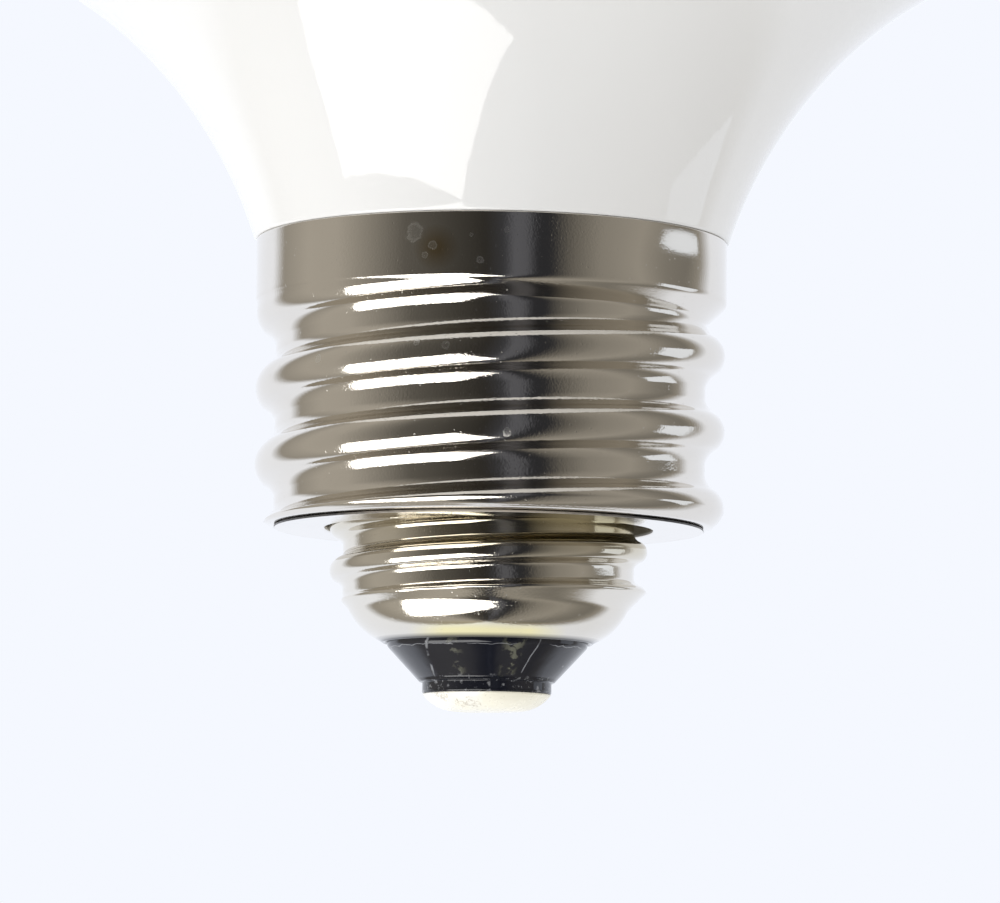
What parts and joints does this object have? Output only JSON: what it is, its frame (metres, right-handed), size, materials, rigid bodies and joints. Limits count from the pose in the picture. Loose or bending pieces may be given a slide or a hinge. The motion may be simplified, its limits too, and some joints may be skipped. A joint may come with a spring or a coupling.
{
  "type": "led bulb",
  "caption": "High-wattage LED bulb with a flared white housing, an opal dome, a small screw cap with a glass insulator, and a larger screw sleeve that goes over the cap.",
  "frame": {"origin": "tip of the centre contact, on the bulb's axis", "axes": "+Z along the bulb's axis, from the contact to the dome"},
  "size_m": [0.12, 0.12, 0.2192],
  "materials": {
    "white_body": "glossy",
    "opal_dome": "satin",
    "sleeve_nickel": "bright nickel plate",
    "cap_nickel": "bright nickel plate",
    "black_glass": "glossy",
    "tinned_contact": "tinned"
  },
  "bodies": {
    "bulb": {"housing": "white_body", "diffuser": "opal_dome", "screw_shell": "cap_nickel", "cap_insulator": "black_glass", "centre_contact": "tinned_contact"},
    "sleeve": {"adapter_sleeve": "sleeve_nickel"}
  },
  "joints": [
    {"name": "sleeve_off", "type": "slide", "parent": "bulb", "child": "sleeve", "axis": [0, 0, -1], "range_m": [0, 0.041]}
  ]
}
